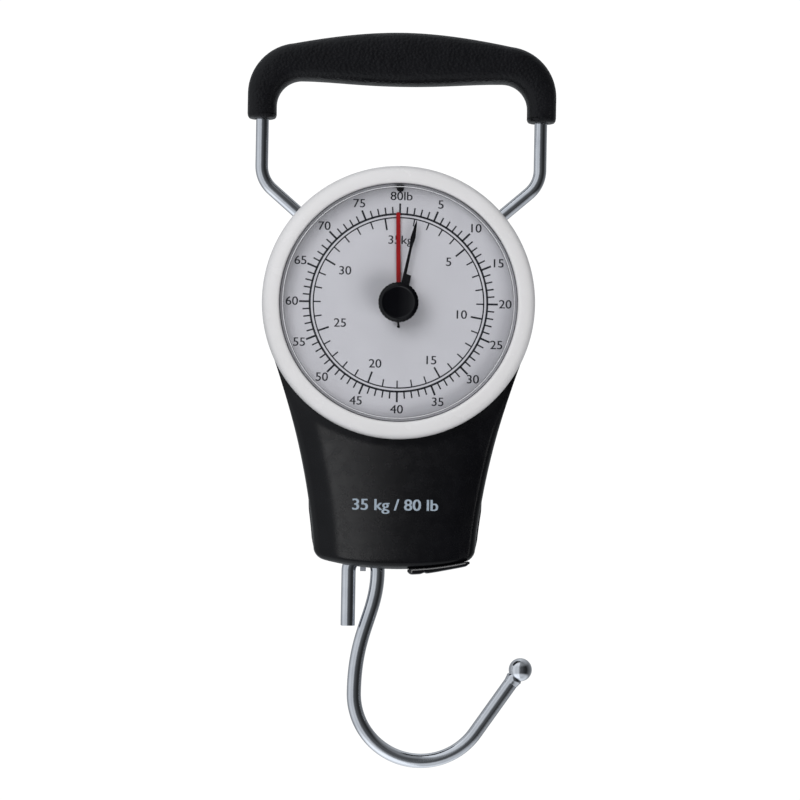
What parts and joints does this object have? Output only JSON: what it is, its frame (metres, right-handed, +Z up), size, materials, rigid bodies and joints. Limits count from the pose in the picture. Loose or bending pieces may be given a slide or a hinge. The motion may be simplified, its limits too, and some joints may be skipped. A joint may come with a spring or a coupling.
{
  "type": "hanging spring scale",
  "caption": "Hand-held dial spring scale with a wire bail and grip, a round two-scale dial, a peak pointer, a load hook and a pull-out tape measure.",
  "frame": {"origin": "middle of the flat on the underside of the hand grip, where the scale hangs from a hand or a peg", "axes": "+Z up, +X to the right as seen from the dial, +Y to the back; the dial faces -Y"},
  "size_m": [0.0968, 0.0364, 0.2305],
  "materials": {
    "grip_plastic": "satin black moulded plastic with a fine pebble grain",
    "housing_plastic": "satin black moulded plastic with a fine spark texture",
    "chrome_wire": "bright chrome plate on round steel wire",
    "spring_steel": "bright drawn steel",
    "sheet_steel": "zinc-plated pressed sheet",
    "zinc_screw": "zinc-plated fasteners",
    "brass_bush": "machined brass",
    "bezel_white": "glossy off-white moulded plastic",
    "clear_lens": "clear polished plastic window",
    "inner_grey_plastic": "plain grey moulded plastic",
    "dial_silver": "matt silver-grey printed card on aluminium sheet, black graduations",
    "pointer_red": "bright red paint",
    "knob_black": "glossy black moulded plastic",
    "tab_black": "glossy black moulded plastic",
    "tape_yellow": "coated yellow woven tape"
  },
  "bodies": {
    "housing": {"handle_grip": "grip_plastic", "handle_wire": "chrome_wire", "handle_retainer_left": "spring_steel", "handle_retainer_right": "spring_steel", "front_housing": "housing_plastic", "rear_housing": "housing_plastic", "housing_screw_1": "zinc_screw", "housing_screw_2": "zinc_screw", "housing_screw_3": "zinc_screw", "housing_screw_4": "zinc_screw", "housing_screw_5": "zinc_screw", "bezel_ring": "bezel_white", "dial_lens": "clear_lens", "lens_spacer_ring": "inner_grey_plastic", "dial_plate": "dial_silver", "dial_locating_key": "knob_black", "mechanism_frame": "sheet_steel", "frame_screw_1": "zinc_screw", "frame_screw_2": "zinc_screw", "frame_screw_3": "zinc_screw", "frame_screw_4": "zinc_screw", "front_bridge": "sheet_steel", "bridge_screw_left": "zinc_screw", "bridge_screw_right": "zinc_screw", "front_bush": "brass_bush", "rear_bush": "brass_bush", "spring_anchor_rod": "spring_steel", "spring_left": "spring_steel", "spring_right": "spring_steel", "tape_case": "inner_grey_plastic", "tape_case_cover": "inner_grey_plastic", "tape_axle": "spring_steel", "tape_power_spring": "spring_steel"},
    "load_carriage": {"drawbar": "sheet_steel", "gear_rack": "brass_bush", "rack_rivet_1": "zinc_screw", "rack_rivet_2": "zinc_screw", "rack_rivet_3": "zinc_screw", "crosshead_rod": "spring_steel"},
    "main_pointer_set": {"pointer_shaft": "spring_steel", "pinion": "brass_bush", "main_pointer": "pointer_red", "pointer_hub": "knob_black"},
    "peak_pointer_set": {"peak_pointer": "knob_black", "peak_knob": "knob_black", "knob_spindle": "knob_black"},
    "hook": {"hook_wire": "chrome_wire", "hook_ball_tip": "chrome_wire"},
    "tape_pull_tab": {"tape_tab": "tab_black", "tape_blade": "tape_yellow"},
    "tape_reel": {"tape_spool": "inner_grey_plastic", "wound_tape": "tape_yellow"}
  },
  "joints": [
    {"name": "load_slide", "type": "slide", "parent": "housing", "child": "load_carriage", "axis": [0, 0, -1], "range_m": [0, 0.02356], "stiffness_N_per_m": 14600, "deforming": ["spring_left", "spring_right"]},
    {"name": "pointer_spin", "type": "hinge", "parent": "housing", "child": "main_pointer_set", "pos_m": [0, 0, -0.0682], "axis": [0, 1, 0], "range_deg": [-5, 365]},
    {"name": "peak_spin", "type": "hinge", "parent": "housing", "child": "peak_pointer_set", "pos_m": [0, 0, -0.0682], "axis": [0, 1, 0], "range_deg": [-10, 348]},
    {"name": "hook_swing", "type": "hinge", "parent": "load_carriage", "child": "hook", "pos_m": [-0.00965, 0, -0.1476], "axis": [1, 0, 0], "range_deg": [-40, 40]},
    {"name": "tape_pull", "type": "slide", "parent": "housing", "child": "tape_pull_tab", "axis": [0, 0, -1], "range_m": [0, 1], "stiffness_N_per_m": 2, "springref_m": -1, "deforming": ["tape_blade"]},
    {"name": "reel_spin", "type": "hinge", "parent": "housing", "child": "tape_reel", "pos_m": [0.0143, 0.0026, -0.1342], "axis": [1, 0, 0], "range_deg": [-10, 8600]}
  ],
  "couplings": [
    {"joint": "pointer_spin", "follows": "load_slide", "rad_per_m": 266.67},
    {"joint": "reel_spin", "follows": "tape_pull", "rad_per_m": 148.1}
  ]
}
